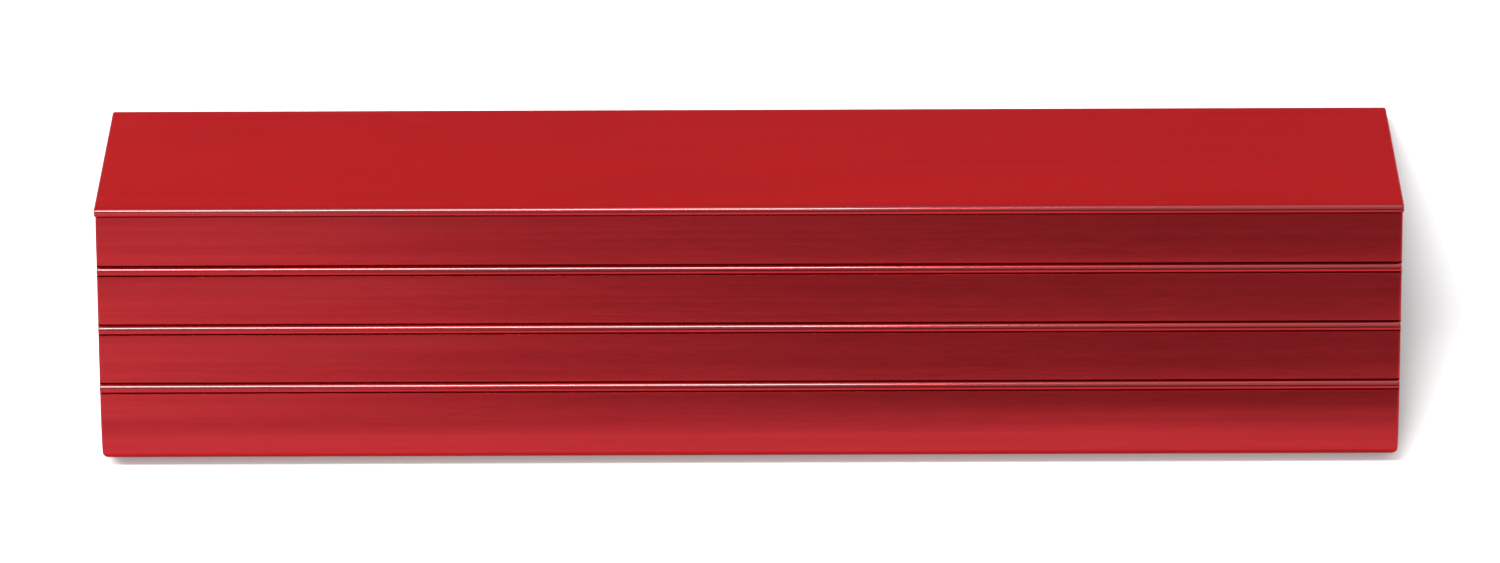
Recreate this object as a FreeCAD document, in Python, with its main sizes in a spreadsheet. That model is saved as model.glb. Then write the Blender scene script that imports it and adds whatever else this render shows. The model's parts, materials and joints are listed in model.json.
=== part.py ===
import FreeCAD, Part
import math
import os
import re

import Sketcher

# Side edge file guide for skis and snowboards. An aluminium angle carries a file on the inner face of
# its wall, and its flange runs on the ski base. A screwed clamp jaw holds the file's lower edge.
#
# Every piece is drawn in the working position: X along the tool, Y from the ribbed wall towards the
# ski, Z up out of the ski base, with the outer corner of the angle at Y = Z = 0. The whole tool is then
# laid down on its two free edges, corner upward, which is how an angle lies on a bench.

V = FreeCAD.Vector
doc = FreeCAD.newDocument("edge_file_guide")

# driving dimensions (mm, degrees)
DIMENSIONS = (
    ("guideLength", 150.0),
    ("flangeReach", 34.4),      # ribbed face to the flange's free edge
    ("flangeThick", 4.0),
    ("flangeEdgeRound", 1.8),
    ("wallDrop", 32.2),         # flange top to the wall's foot
    ("wallThick", 5.0),
    ("footOuterRound", 2.2),
    ("footSweepRound", 20.0),   # wall curving in towards its foot
    ("footSweepDrop", 24.0),    # where that curve starts
    ("footInnerRound", 1.0),
    ("noseProud", 2.4),         # lip along the outer corner
    ("noseRound", 0.55),
    ("noseSlope", 22.0),        # underside of the lip, against the flange
    ("beadRound", 0.58),        # half-round grip ribs on the wall
    ("beadProud", 0.42),
    ("beadPitch", 7.15),
    ("firstBeadDrop", 8.4),
    ("panelWidth", 5.8),        # pillowed panel between the ribs
    ("panelCrown", 0.12),
    ("reliefDepth", 0.8),       # groove over the file's upper edge
    ("reliefWidth", 4.6),
    ("fileLength", 130.0),
    ("fileWidth", 13.0),
    ("fileThick", 3.0),
    ("fileGap", 0.2),           # under the roof of the relief groove
    ("fileLean", 2.0),          # takes the square seat to an 88 degree edge
    ("shimThin", 0.6),
    ("jawLength", 132.0),
    ("jawGap", 0.25),
    ("jawLip", 1.4),
    ("jawLipLap", 2.1),
    ("jawOpen", 1.2),           # travel of the jaw
    ("jawInner", 11.1),         # jaw's inner face from the ribbed face
    ("bevelRoom", 0.5),         # open jaw above the bench
    ("padThick", 0.5),
    ("padWidth", 1.7),
    ("padInset", 0.2),
    ("screwSpread", 42.0),
    ("screwDrop", 20.5),
    ("screwRadius", 1.5),
    ("screwHeadRadius", 2.75),
    ("screwHeadHeight", 2.0),
    ("screwTip", 1.3),
    ("screwSeat", 8.75),        # underside of the head
    ("hexAcross", 2.0),
    ("hexDeep", 1.2),
    ("washerRadius", 2.85),
    ("washerThick", 0.5),
    ("insertRadius", 2.3),
    ("insertDeep", 4.0),
    ("insertInset", 0.1),
    ("runClear", 0.05),
    ("ringRadius", 2.6),
    ("ringGroove", 1.25),
    ("ringThick", 0.5),
    ("ringSide", 0.12),         # clearance between ring and jaw
    ("ringMouth", 1.8),         # open side of the ring
    ("ringRoom", 0.4),          # jaw's pocket around the ring
    ("headRoom", 0.3),          # jaw's bore around the screw's head
    ("pinSpread", 58.0),
    ("pinRadius", 1.5),
    ("pinDeep", 3.5),
    ("pinEnd", 9.6),
    ("pinTip", 0.4),
    ("stripWidth", 5.0),
    ("stripThick", 1.0),
    ("stripProud", 0.2),
    ("stripLength", 146.0),
    ("stripFront", 14.0),       # middle of the strip nearer the file
    ("stripRear", 26.5),
    ("stripScrewPitch", 62.0),
    ("stripScrewRadius", 0.95),
    ("stripScrewHead", 1.8),
    ("stripScrewLong", 2.9),
    ("stripHexDeep", 0.6),
    ("smallHexShare", 2.6),     # a small screw's head radius over its hex hole's
    ("stopGap", 0.3),
    ("stopLength", 6.6),
    ("stopThick", 3.4),
    ("stopHeight", 8.5),
    ("stopDrop", 9.6),
    ("stopScrewRadius", 1.2),
    ("stopScrewHead", 2.2),
    ("stopScrewLong", 6.2),
    ("stopHexDeep", 0.8),
    ("endBreak", 0.25),         # broken edges of the sawn ends
)

sizes = doc.addObject("Spreadsheet::Sheet", "sizes")


def store(row, alias, value):
    """One named cell of the sheet."""
    sizes.set("A%d" % row, alias)
    sizes.set("B%d" % row, "%.6f" % value)
    sizes.setAlias("B%d" % row, alias)


for row, (alias, value) in enumerate(DIMENSIONS, start=1):
    store(row, alias, value)
doc.recompute()


def number(expression):
    """Value of an expression in the sheet's names."""
    return float(sizes.evalExpression(expression))


# Lying on its two free edges: the line that touches the foot's inner round and the flange's lower round.
foot_y = number("wallThick - footInnerRound")
foot_z = number("footInnerRound - wallDrop")
edge_y = number("flangeReach - flangeEdgeRound")
edge_z = number("flangeEdgeRound - flangeThick")
round_step = number("flangeEdgeRound - footInnerRound")
reach = math.hypot(edge_y - foot_y, edge_z - foot_z)
tilt = math.degrees(math.atan2(edge_z - foot_z, edge_y - foot_y) - math.asin(round_step / reach))
next_row = len(DIMENSIONS) + 1
store(next_row, "layTilt", tilt)
# where that line crosses the wall's inner face, and how fast it climbs
bench_drop = (-foot_z + number("footInnerRound") / math.cos(math.radians(tilt))
              + (foot_y - number("wallThick")) * math.tan(math.radians(tilt)))
store(next_row + 1, "benchDrop", bench_drop)
store(next_row + 2, "benchClimb", math.tan(math.radians(tilt)))
doc.recompute()


# drawing helpers
sheet_names = [alias for alias, _ in DIMENSIONS] + ["layTilt", "benchDrop", "benchClimb"]


def bound(expression):
    """The same expression for use outside the sheet."""
    return re.sub(r"[A-Za-z]\w*",
                  lambda word: "<<sizes>>." + word[0] if word[0] in sheet_names else word[0],
                  expression)


def drive(item, prop, expression):
    """Bind a property to the sheet."""
    item.setExpression(prop, bound(expression))


def new_body(label):
    body = doc.addObject("PartDesign::Body", label)
    body.Label = label
    return body


def new_sketch(body, name, plane, height="0"):
    """Sketch on one of the body's own planes, lifted along that plane's normal."""
    sketch = body.newObject("Sketcher::SketchObject", name)
    base = [item for item in body.Origin.OriginFeatures if item.Role == plane][0]
    sketch.AttachmentSupport = [(base, "")]
    sketch.MapMode = "FlatFace"
    drive(sketch, "AttachmentOffset.Base.z", height)
    return sketch


def hold(sketch, edge, point, across, up):
    """Fix a sketch point by two expressions measured from the sketch origin."""
    for kind, axis, expression in (("DistanceX", -2, across), ("DistanceY", -1, up)):
        value = number(expression)
        if abs(value) < 1e-9:
            sketch.addConstraint(Sketcher.Constraint("PointOnObject", edge, point, axis))
        elif value > 0:
            index = sketch.addConstraint(Sketcher.Constraint(kind, -1, 1, edge, point, value))
            sketch.setExpression("Constraints[%d]" % index, bound(expression))
        else:
            index = sketch.addConstraint(Sketcher.Constraint(kind, edge, point, -1, 1, -value))
            sketch.setExpression("Constraints[%d]" % index, bound("-(%s)" % expression))


def draw_outline(sketch, corners):
    """Closed outline of straight lines through corners given as pairs of expressions."""
    points = [V(number(across), number(up), 0) for across, up in corners]
    first = sketch.GeometryCount
    count = len(points)
    for i in range(count):
        sketch.addGeometry(Part.LineSegment(points[i], points[(i + 1) % count]), False)
    for i in range(count):
        sketch.addConstraint(Sketcher.Constraint("Coincident", first + i, 2, first + (i + 1) % count, 1))
    for i, (across, up) in enumerate(corners):
        hold(sketch, first + i, 1, across, up)


def draw_box(sketch, left, right, low, high):
    draw_outline(sketch, ((left, low), (right, low), (right, high), (left, high)))


def draw_bow(sketch, start, end, radius):
    """Arc bulging to the left of its chord and the chord that closes it."""
    a = V(number(start[0]), number(start[1]), 0)
    b = V(number(end[0]), number(end[1]), 0)
    size = number(radius)
    half = (b - a) * 0.5
    side = V(-half.y, half.x, 0).normalize()
    middle = a + half - side * math.sqrt(size ** 2 - half.Length ** 2)
    swing = [math.atan2(point.y - middle.y, point.x - middle.x) for point in (b, a)]
    arc = Part.ArcOfCircle(Part.Circle(middle, V(0, 0, 1), size), swing[0], swing[1] % (2 * math.pi))
    bow = sketch.addGeometry(arc, False)
    chord = sketch.addGeometry(Part.LineSegment(a, b), False)
    sketch.addConstraint(Sketcher.Constraint("Coincident", bow, 2, chord, 1))
    sketch.addConstraint(Sketcher.Constraint("Coincident", bow, 1, chord, 2))
    hold(sketch, chord, 1, *start)
    hold(sketch, chord, 2, *end)
    index = sketch.addConstraint(Sketcher.Constraint("Radius", bow, size))
    sketch.setExpression("Constraints[%d]" % index, bound(radius))


def draw_circle(sketch, across, up, radius):
    circle = Part.Circle(V(number(across), number(up), 0), V(0, 0, 1), number(radius))
    edge = sketch.addGeometry(circle, False)
    index = sketch.addConstraint(Sketcher.Constraint("Radius", edge, number(radius)))
    sketch.setExpression("Constraints[%d]" % index, bound(radius))
    hold(sketch, edge, 3, across, up)


def pad(body, name, sketch, length, symmetric=True, reverse=False):
    feature = body.newObject("PartDesign::Pad", name)
    feature.Profile = sketch
    feature.SideType = "Symmetric" if symmetric else "One side"
    feature.Reversed = reverse
    drive(feature, "Length", length)
    body.Tip = feature
    doc.recompute()
    return feature


def cut(body, name, sketch, length, symmetric=True, reverse=False):
    """Pocket that has to take material away."""
    before = body.Shape.Volume
    feature = body.newObject("PartDesign::Pocket", name)
    feature.Profile = sketch
    feature.SideType = "Symmetric" if symmetric else "One side"
    feature.Reversed = reverse
    drive(feature, "Length", length)
    body.Tip = feature
    doc.recompute()
    if not feature.Shape.Volume < before - 1e-4:
        raise ValueError("%s cuts nothing" % name)
    return feature


def repeat_down(body, name, feature, count):
    """Copies of a feature down the wall, one rib pitch apart."""
    pattern = body.newObject("PartDesign::LinearPattern", name)
    pattern.Originals = [feature]
    axis = [item for item in body.Origin.OriginFeatures if item.Role == "Z_Axis"][0]
    pattern.Direction = (axis, [""])
    pattern.Reversed = True
    pattern.Occurrences = count
    drive(pattern, "Length", "beadPitch * %d" % (count - 1))
    body.Tip = pattern
    doc.recompute()
    return pattern


def edges_along_x(shape, y, z, tolerance=0.05):
    """Names of the long edges at one place of the section."""
    names = []
    for index, edge in enumerate(shape.Edges, start=1):
        box = edge.BoundBox
        long_enough = box.XLength > 100
        if long_enough and abs(box.Center.y - y) < tolerance and abs(box.Center.z - z) < tolerance:
            names.append("Edge%d" % index)
    return names


def round_edges(body, name, base, names, radius):
    feature = body.newObject("PartDesign::Fillet", name)
    feature.Base = (base, names)
    drive(feature, "Radius", radius)
    body.Tip = feature
    doc.recompute()
    return feature


def rod(name, radius, start, end, x="0", z="0"):
    """Cylinder along Y between two expressions."""
    item = doc.addObject("Part::Cylinder", name)
    drive(item, "Radius", radius)
    drive(item, "Height", "(%s) - (%s)" % (end, start))
    item.Placement = FreeCAD.Placement(V(0, 0, 0), FreeCAD.Rotation(V(1, 0, 0), -90))
    drive(item, "Placement.Base.x", x)
    drive(item, "Placement.Base.y", start)
    drive(item, "Placement.Base.z", z)
    return item


def cone_up(name, low_radius, high_radius, low, high, x, y):
    """Cone along Z between two expressions."""
    item = doc.addObject("Part::Cone", name)
    drive(item, "Radius1", low_radius)
    drive(item, "Radius2", high_radius)
    drive(item, "Height", "(%s) - (%s)" % (high, low))
    drive(item, "Placement.Base.x", x)
    drive(item, "Placement.Base.y", y)
    drive(item, "Placement.Base.z", low)
    return item


def post_up(name, radius, low, high, x, y):
    """Cylinder along Z between two expressions."""
    item = doc.addObject("Part::Cylinder", name)
    drive(item, "Radius", radius)
    drive(item, "Height", "(%s) - (%s)" % (high, low))
    drive(item, "Placement.Base.x", x)
    drive(item, "Placement.Base.y", y)
    drive(item, "Placement.Base.z", low)
    return item


def block(name, x, y, z, length, width, height):
    item = doc.addObject("Part::Box", name)
    drive(item, "Length", length)
    drive(item, "Width", width)
    drive(item, "Height", height)
    drive(item, "Placement.Base.x", x)
    drive(item, "Placement.Base.y", y)
    drive(item, "Placement.Base.z", z)
    return item


def fuse(name, items):
    result = doc.addObject("Part::MultiFuse", name)
    result.Shapes = items
    result.Refine = True
    return result


def subtract(name, base, tool):
    result = doc.addObject("Part::Cut", name)
    result.Base = base
    result.Tool = tool
    return result


SIDES = (("left", "-1"), ("right", "1"))
nodes = []


def keep(item, label):
    """Register a finished piece under its node name."""
    item.Label = label
    nodes.append(item)
    return item


# guide body: the ribbed angle
guide = keep(new_body("guide_body"), "guide_body")

section = new_sketch(guide, "angle_section", "YZ_Plane")
draw_outline(section, (
    ("0", "0"),
    ("flangeReach", "0"),
    ("flangeReach", "-flangeThick"),
    ("wallThick", "-flangeThick"),
    ("wallThick", "-wallDrop"),
    ("0", "-wallDrop"),
))
angle = pad(guide, "angle", section, "guideLength")

# the wall's outer face curves in towards the foot: everything outside a large cylinder goes
sweep_in = "footSweepRound - sqrt(footSweepRound ^ 2 - (wallDrop - footSweepDrop) ^ 2)"
foot_sketch = new_sketch(guide, "foot_sweep_section", "YZ_Plane")
draw_outline(foot_sketch, (("0", "-footSweepDrop"), ("0", "-wallDrop"), (sweep_in, "-wallDrop")))
foot_block = cut(guide, "foot_block", foot_sketch, "guideLength + 2")
bow_sketch = new_sketch(guide, "foot_bow_section", "YZ_Plane")
draw_bow(bow_sketch, (sweep_in, "-wallDrop"), ("0", "-footSweepDrop"), "footSweepRound")
foot_bow = pad(guide, "foot_bow", bow_sketch, "guideLength")
foot_outer = round_edges(guide, "foot_outer", foot_bow,
                         edges_along_x(foot_bow.Shape, number(sweep_in), -number("wallDrop")),
                         "footOuterRound")
foot_inner = round_edges(guide, "foot_inner", foot_outer,
                         edges_along_x(foot_outer.Shape, number("wallThick"), -number("wallDrop")),
                         "footInnerRound")
edge_names = edges_along_x(foot_inner.Shape, number("flangeReach"), 0)
edge_names += edges_along_x(foot_inner.Shape, number("flangeReach"), -number("flangeThick"))
flange_edge = round_edges(guide, "flange_edge", foot_inner, edge_names, "flangeEdgeRound")

# three pillowed panels between the ribs, each a slice of a large cylinder
panel_radius = "(panelWidth ^ 2 / 8 / panelCrown + panelCrown / 2)"
panel_middle = "beadPitch / 2 - firstBeadDrop"
panel_sketch = new_sketch(guide, "panel_section", "YZ_Plane")
draw_bow(panel_sketch, ("0", panel_middle + " - panelWidth / 2"), ("0", panel_middle + " + panelWidth / 2"),
         panel_radius)
panel = pad(guide, "panel", panel_sketch, "guideLength")
panels = repeat_down(guide, "panels", panel, 3)

# half-round ribs, then the lip at the outer corner
bead_sketch = new_sketch(guide, "bead_section", "YZ_Plane")
draw_circle(bead_sketch, "beadRound - beadProud", "-firstBeadDrop", "beadRound")
bead = pad(guide, "bead", bead_sketch, "guideLength")
beads = repeat_down(guide, "beads", bead, 3)

nose_out = "noseRound - noseProud"
nose_foot = (nose_out + " - noseRound * sin(noseSlope * 1deg)", "-noseRound * (1 + cos(noseSlope * 1deg))")
nose_root = "%s + (%s) * tan(noseSlope * 1deg)" % (nose_foot[1], nose_foot[0])
lip_sketch = new_sketch(guide, "lip_section", "YZ_Plane")
draw_outline(lip_sketch, (
    (nose_out, "0"),
    ("noseRound", "0"),
    ("noseRound", nose_root),
    ("0", nose_root),
    nose_foot,
    (nose_out, "-noseRound"),
))
lip = pad(guide, "lip", lip_sketch, "guideLength")
nose_sketch = new_sketch(guide, "nose_section", "YZ_Plane")
draw_circle(nose_sketch, nose_out, "-noseRound", "noseRound")
nose = pad(guide, "nose", nose_sketch, "guideLength")

# relief groove in the inner corner: room for the file's upper edge and for filings
relief_sketch = new_sketch(guide, "relief_section", "YZ_Plane")
draw_box(relief_sketch, "wallThick", "wallThick + reliefWidth",
         "-flangeThick - 1", "reliefDepth - flangeThick")
relief = cut(guide, "relief", relief_sketch, "guideLength + 2")

# two grooves in the running face for the wear strips
for place in ("Front", "Rear"):
    middle = "strip" + place
    groove_sketch = new_sketch(guide, "strip_groove_%s_section" % place.lower(), "YZ_Plane")
    draw_box(groove_sketch, middle + " - stripWidth / 2", middle + " + stripWidth / 2",
             "-flangeThick - 1", "stripThick - stripProud - flangeThick")
    cut(guide, "strip_groove_" + place.lower(), groove_sketch, "guideLength + 2")

# blind bores in the wall's inner face: thread inserts, guide pins, stop screws
bores = (
    ("insert", "screwSpread", "-screwDrop", "insertRadius", "insertDeep"),
    ("pin", "pinSpread", "-screwDrop", "pinRadius", "pinDeep"),
    ("stop_screw", "fileLength / 2 + stopGap + stopLength / 2", "-stopDrop", "stopScrewRadius",
     "stopScrewLong - stopThick"),
)
for bore_name, spread, height, radius, deep in bores:
    bore_sketch = new_sketch(guide, bore_name + "_bores", "XZ_Plane", "-wallThick")
    for _, sign in SIDES:
        draw_circle(bore_sketch, "%s * (%s)" % (sign, spread), height, radius)
    cut(guide, bore_name + "_bore", bore_sketch, deep, symmetric=False, reverse=True)

# blind bores in the flange for the wear strip screws
strip_face = "-flangeThick - stripProud"
strip_bores = new_sketch(guide, "strip_screw_bores", "XY_Plane", "stripThick - stripProud - flangeThick")
for middle in ("stripFront", "stripRear"):
    for step in ("-1", "0", "1"):
        draw_circle(strip_bores, "%s * stripScrewPitch" % step, middle, "stripScrewRadius")
sawn = cut(guide, "strip_screw_bore", strip_bores, "stripScrewLong - stripThick",
           symmetric=False, reverse=True)

# the two sawn ends with their edges broken
half_length = number("guideLength / 2")
end_edges = []
for index, edge in enumerate(sawn.Shape.Edges, start=1):
    if abs(abs(edge.BoundBox.Center.x) - half_length) < 1e-3 and edge.BoundBox.XLength < 1e-3:
        end_edges.append("Edge%d" % index)
ends = guide.newObject("PartDesign::Chamfer", "ends")
ends.Base = (sawn, end_edges)
drive(ends, "Size", "endBreak")
guide.Tip = ends
doc.recompute()

# angle shim and file
shim = keep(new_body("angle_shim"), "angle_shim")
shim_sketch = new_sketch(shim, "wedge_section", "YZ_Plane")
file_top = "-flangeThick + reliefDepth - fileGap"
shim_thick = "shimThin + fileWidth * tan(fileLean * 1deg)"
draw_outline(shim_sketch, (
    ("wallThick", file_top),
    ("wallThick", file_top + " - fileWidth"),
    ("wallThick + " + shim_thick, file_top + " - fileWidth"),
    ("wallThick + shimThin", file_top),
))
pad(shim, "wedge", shim_sketch, "fileLength")

edge_file = keep(new_body("edge_file"), "edge_file")
file_sketch = new_sketch(edge_file, "file_section", "YZ_Plane")
lean_in = "fileThick * cos(fileLean * 1deg)"
lean_up = "fileThick * sin(fileLean * 1deg)"
file_foot = file_top + " - fileWidth"
draw_outline(file_sketch, (
    ("wallThick + shimThin", file_top),
    ("wallThick + " + shim_thick, file_foot),
    ("wallThick + %s + %s" % (shim_thick, lean_in), file_foot + " + " + lean_up),
    ("wallThick + shimThin + " + lean_in, file_top + " + " + lean_up),
))
pad(edge_file, "blank", file_sketch, "fileLength")

# clamp jaw and its pad
jaw = keep(new_body("clamp_jaw"), "clamp_jaw")
jaw_back = "wallThick + jawGap"
jaw_top = file_foot + " - jawGap"
lip_top = file_foot + " + jawLipLap"
lip_back = "jawInner - jawLip"
bevel = "bevelRoom / cos(layTilt * 1deg) - benchDrop + benchClimb * (%s + jawOpen - wallThick)"
jaw_sketch = new_sketch(jaw, "jaw_section", "YZ_Plane")
draw_outline(jaw_sketch, (
    (jaw_back, jaw_top),
    (jaw_back, bevel % jaw_back),
    ("jawInner", bevel % "jawInner"),
    ("jawInner", lip_top),
    (lip_back, lip_top),
    (lip_back, jaw_top),
))
jaw_bar = pad(jaw, "jaw_bar", jaw_sketch, "jawLength")
jaw_bores = (
    ("shank", "screwSpread", "screwRadius + runClear", "wallThick", "jawInner - wallThick + 1"),
    ("head", "screwSpread", "screwHeadRadius + headRoom", "screwSeat - washerThick - runClear",
     "jawInner - screwSeat + washerThick + 1"),
    ("pin", "pinSpread", "pinRadius + runClear", "wallThick", "jawInner - wallThick + 1"),
)
for bore_name, spread, radius, start, deep in jaw_bores:
    bore_sketch = new_sketch(jaw, "jaw_%s_bores" % bore_name, "XZ_Plane", "-(%s)" % start)
    for _, sign in SIDES:
        draw_circle(bore_sketch, "%s * %s" % (sign, spread), "-screwDrop", radius)
    cut(jaw, "jaw_%s_bore" % bore_name, bore_sketch, deep, symmetric=False)
ring_pocket = new_sketch(jaw, "ring_pocket_section", "XZ_Plane", "-(%s)" % jaw_back)
for _, sign in SIDES:
    draw_circle(ring_pocket, "%s * screwSpread" % sign, "-screwDrop", "ringRadius + ringRoom")
cut(jaw, "ring_pocket", ring_pocket, "ringThick + ringRoom", symmetric=False)

jaw_pad = keep(new_body("jaw_pad"), "jaw_pad")
pad_sketch = new_sketch(jaw_pad, "pad_section", "YZ_Plane")
draw_box(pad_sketch, lip_back + " - padThick", lip_back, 
         lip_top + " - padWidth - padInset", lip_top + " - padInset")
pad(jaw_pad, "strip", pad_sketch, "fileLength")

# clamp screws and what sits on them
for side, sign in SIDES:
    screw_x = "%s * screwSpread" % sign
    screw_z = "-screwDrop"

    ring_start = jaw_back + " + ringSide"
    ring_end = ring_start + " + ringThick"
    shank_low = rod("shank_low_" + side, "screwRadius", "screwTip", ring_start, screw_x, screw_z)
    neck = rod("neck_" + side, "ringGroove", ring_start, ring_end, screw_x, screw_z)
    shank_high = rod("shank_high_" + side, "screwRadius", ring_end, "screwSeat", screw_x, screw_z)
    head = rod("head_" + side, "screwHeadRadius", "screwSeat", "screwSeat + screwHeadHeight",
               screw_x, screw_z)
    solid = fuse("screw_solid_" + side, [shank_low, neck, shank_high, head])
    socket = doc.addObject("Part::Prism", "socket_" + side)
    socket.Polygon = 6
    drive(socket, "Circumradius", "hexAcross / sqrt(3)")
    drive(socket, "Height", "hexDeep + 1")
    socket.Placement = FreeCAD.Placement(V(0, 0, 0), FreeCAD.Rotation(V(1, 0, 0), -90))
    drive(socket, "Placement.Base.x", screw_x)
    drive(socket, "Placement.Base.y", "screwSeat + screwHeadHeight - hexDeep")
    drive(socket, "Placement.Base.z", screw_z)
    keep(subtract("clamp_screw_" + side, solid, socket), "clamp_screw_" + side)

    washer_start = "screwSeat - washerThick - runClear"
    disc = rod("washer_disc_" + side, "washerRadius", washer_start, "screwSeat - runClear", screw_x, screw_z)
    eye = rod("washer_eye_" + side, "screwRadius + 2 * runClear", "wallThick", "jawInner", screw_x, screw_z)
    keep(subtract("screw_washer_" + side, disc, eye), "screw_washer_" + side)

    ring_disc = rod("ring_disc_" + side, "ringRadius", ring_start, ring_end, screw_x, screw_z)
    ring_eye = rod("ring_eye_" + side, "ringGroove", "wallThick", "jawInner", screw_x, screw_z)
    mouth = block("ring_mouth_" + side, screw_x + " - ringMouth / 2", "wallThick",
                  screw_z + " - ringRadius - 1", "ringMouth", "jawInner", "ringRadius + 1")
    ring_open = fuse("ring_open_" + side, [ring_eye, mouth])
    keep(subtract("retaining_ring_" + side, ring_disc, ring_open), "retaining_ring_" + side)

    sleeve = rod("sleeve_" + side, "insertRadius", "wallThick - insertDeep + insertInset",
                 "wallThick - insertInset", screw_x, screw_z)
    thread = rod("thread_" + side, "screwRadius + runClear", "0", "jawInner", screw_x, screw_z)
    keep(subtract("thread_insert_" + side, sleeve, thread), "thread_insert_" + side)

    pin_x = "%s * pinSpread" % sign
    pin_body = rod("pin_body_" + side, "pinRadius", "wallThick - pinDeep", "pinEnd - pinTip", pin_x, screw_z)
    pin_tip = doc.addObject("Part::Cone", "pin_tip_" + side)
    drive(pin_tip, "Radius1", "pinRadius")
    drive(pin_tip, "Radius2", "pinRadius - pinTip")
    drive(pin_tip, "Height", "pinTip")
    pin_tip.Placement = FreeCAD.Placement(V(0, 0, 0), FreeCAD.Rotation(V(1, 0, 0), -90))
    drive(pin_tip, "Placement.Base.x", pin_x)
    drive(pin_tip, "Placement.Base.y", "pinEnd - pinTip")
    drive(pin_tip, "Placement.Base.z", screw_z)
    keep(fuse("guide_pin_" + side, [pin_body, pin_tip]), "guide_pin_" + side)

# wear strips on the running face
screw_solids = []
for place in ("Front", "Rear"):
    tag = place.lower()
    middle = "strip" + place
    strip = block("strip_bar_" + tag, "-stripLength / 2", middle + " - stripWidth / 2", strip_face,
                  "stripLength", "stripWidth", "stripThick")
    sinks = []
    for number_of, step in enumerate(("-1", "0", "1")):
        x = "%s * stripScrewPitch" % step
        name = "%s_%d" % (tag, number_of)
        sink_top = strip_face + " + stripScrewHead - stripScrewRadius"
        sinks.append(cone_up("sink_" + name, "stripScrewHead", "stripScrewRadius",
                             strip_face, sink_top, x, middle))
        sinks.append(post_up("way_" + name, "stripScrewRadius", strip_face, "0", x, middle))
        cone = cone_up("strip_head_" + name, "stripScrewHead", "stripScrewRadius",
                       strip_face, sink_top, x, middle)
        shank = post_up("strip_shank_" + name, "stripScrewRadius", sink_top,
                        strip_face + " + stripScrewLong", x, middle)
        drive_hole = doc.addObject("Part::Prism", "strip_hex_" + name)
        drive_hole.Polygon = 6
        drive(drive_hole, "Circumradius", "stripScrewHead / smallHexShare")
        drive(drive_hole, "Height", "stripHexDeep")
        drive(drive_hole, "Placement.Base.x", x)
        drive(drive_hole, "Placement.Base.y", middle)
        drive(drive_hole, "Placement.Base.z", strip_face)
        blank = fuse("strip_blank_" + name, [cone, shank])
        screw_solids.append(subtract("strip_screw_" + name, blank, drive_hole))
    keep(subtract("wear_strip_" + tag, strip, fuse("strip_ways_" + tag, sinks)), "wear_strip_" + tag)
strip_screws = doc.addObject("Part::Compound", "wear_strip_screws")
strip_screws.Links = screw_solids
keep(strip_screws, "wear_strip_screws")

# stops at the file's two ends
stop_screws = []
for side, sign in SIDES:
    stop_x = "%s * (fileLength / 2 + stopGap + stopLength / 2)" % sign
    bar = block("stop_bar_" + side, stop_x + " - stopLength / 2", "wallThick", "-stopDrop - stopHeight / 2",
                "stopLength", "stopThick", "stopHeight")
    way = rod("stop_way_" + side, "stopScrewRadius", "0", "jawInner", stop_x, "-stopDrop")
    face = "wallThick + stopThick"
    depth = "stopScrewHead - stopScrewRadius"
    cones = {}
    for role in ("stop_sink_", "stop_head_"):
        cone = doc.addObject("Part::Cone", role + side)
        drive(cone, "Radius1", "stopScrewRadius")
        drive(cone, "Radius2", "stopScrewHead")
        drive(cone, "Height", depth)
        cone.Placement = FreeCAD.Placement(V(0, 0, 0), FreeCAD.Rotation(V(1, 0, 0), -90))
        drive(cone, "Placement.Base.x", stop_x)
        drive(cone, "Placement.Base.y", "%s - (%s)" % (face, depth))
        drive(cone, "Placement.Base.z", "-stopDrop")
        cones[role] = cone
    shank = rod("stop_shank_" + side, "stopScrewRadius", face + " - stopScrewLong",
                "%s - (%s)" % (face, depth), stop_x, "-stopDrop")
    hex_hole = doc.addObject("Part::Prism", "stop_hex_" + side)
    hex_hole.Polygon = 6
    drive(hex_hole, "Circumradius", "stopScrewHead / smallHexShare")
    drive(hex_hole, "Height", "stopHexDeep")
    hex_hole.Placement = FreeCAD.Placement(V(0, 0, 0), FreeCAD.Rotation(V(1, 0, 0), -90))
    drive(hex_hole, "Placement.Base.x", stop_x)
    drive(hex_hole, "Placement.Base.y", face + " - stopHexDeep")
    drive(hex_hole, "Placement.Base.z", "-stopDrop")
    blank = fuse("stop_blank_" + side, [shank, cones["stop_head_"]])
    stop_screws.append(subtract("stop_screw_" + side, blank, hex_hole))
    keep(subtract("file_stop_" + side, bar, fuse("stop_ways_" + side, [way, cones["stop_sink_"]])),
         "file_stop_" + side)
stop_screw_set = doc.addObject("Part::Compound", "file_stop_screws")
stop_screw_set.Links = stop_screws
keep(stop_screw_set, "file_stop_screws")

# lay the tool down and write the pieces
doc.recompute()
lay = FreeCAD.Placement(V(0, 0, 0), FreeCAD.Rotation(V(1, 0, 0), -tilt))
laid = guide.Shape.copy()
laid.Placement = lay.multiply(laid.Placement)
box = laid.optimalBoundingBox(False)
lay.Base = V(0, -box.Center.y, -box.ZMin)
for item in nodes:
    item.Placement = lay
doc.recompute()

for item in doc.Objects:
    if "Invalid" in item.State or "Error" in item.State:
        raise ValueError("%s did not compute" % item.Name)
for item in nodes:
    if item.Shape.isNull() or not item.Shape.isValid() or item.Shape.Volume < 0.01:
        raise ValueError("%s has no valid shape" % item.Label)

os.makedirs("parts", exist_ok=True)
for item in nodes:
    item.Shape.exportStep(os.path.join("parts", item.Label + ".step"))
    print("%-22s %3d solid(s) %10.2f mm3" % (item.Label, len(item.Shape.Solids), item.Shape.Volume))
print("tilt %.4f  shift y %.4f  z %.4f" % (tilt, lay.Base.y, lay.Base.z))
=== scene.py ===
import json
import math

import bmesh
import bpy
from mathutils import Matrix, Vector


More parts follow.
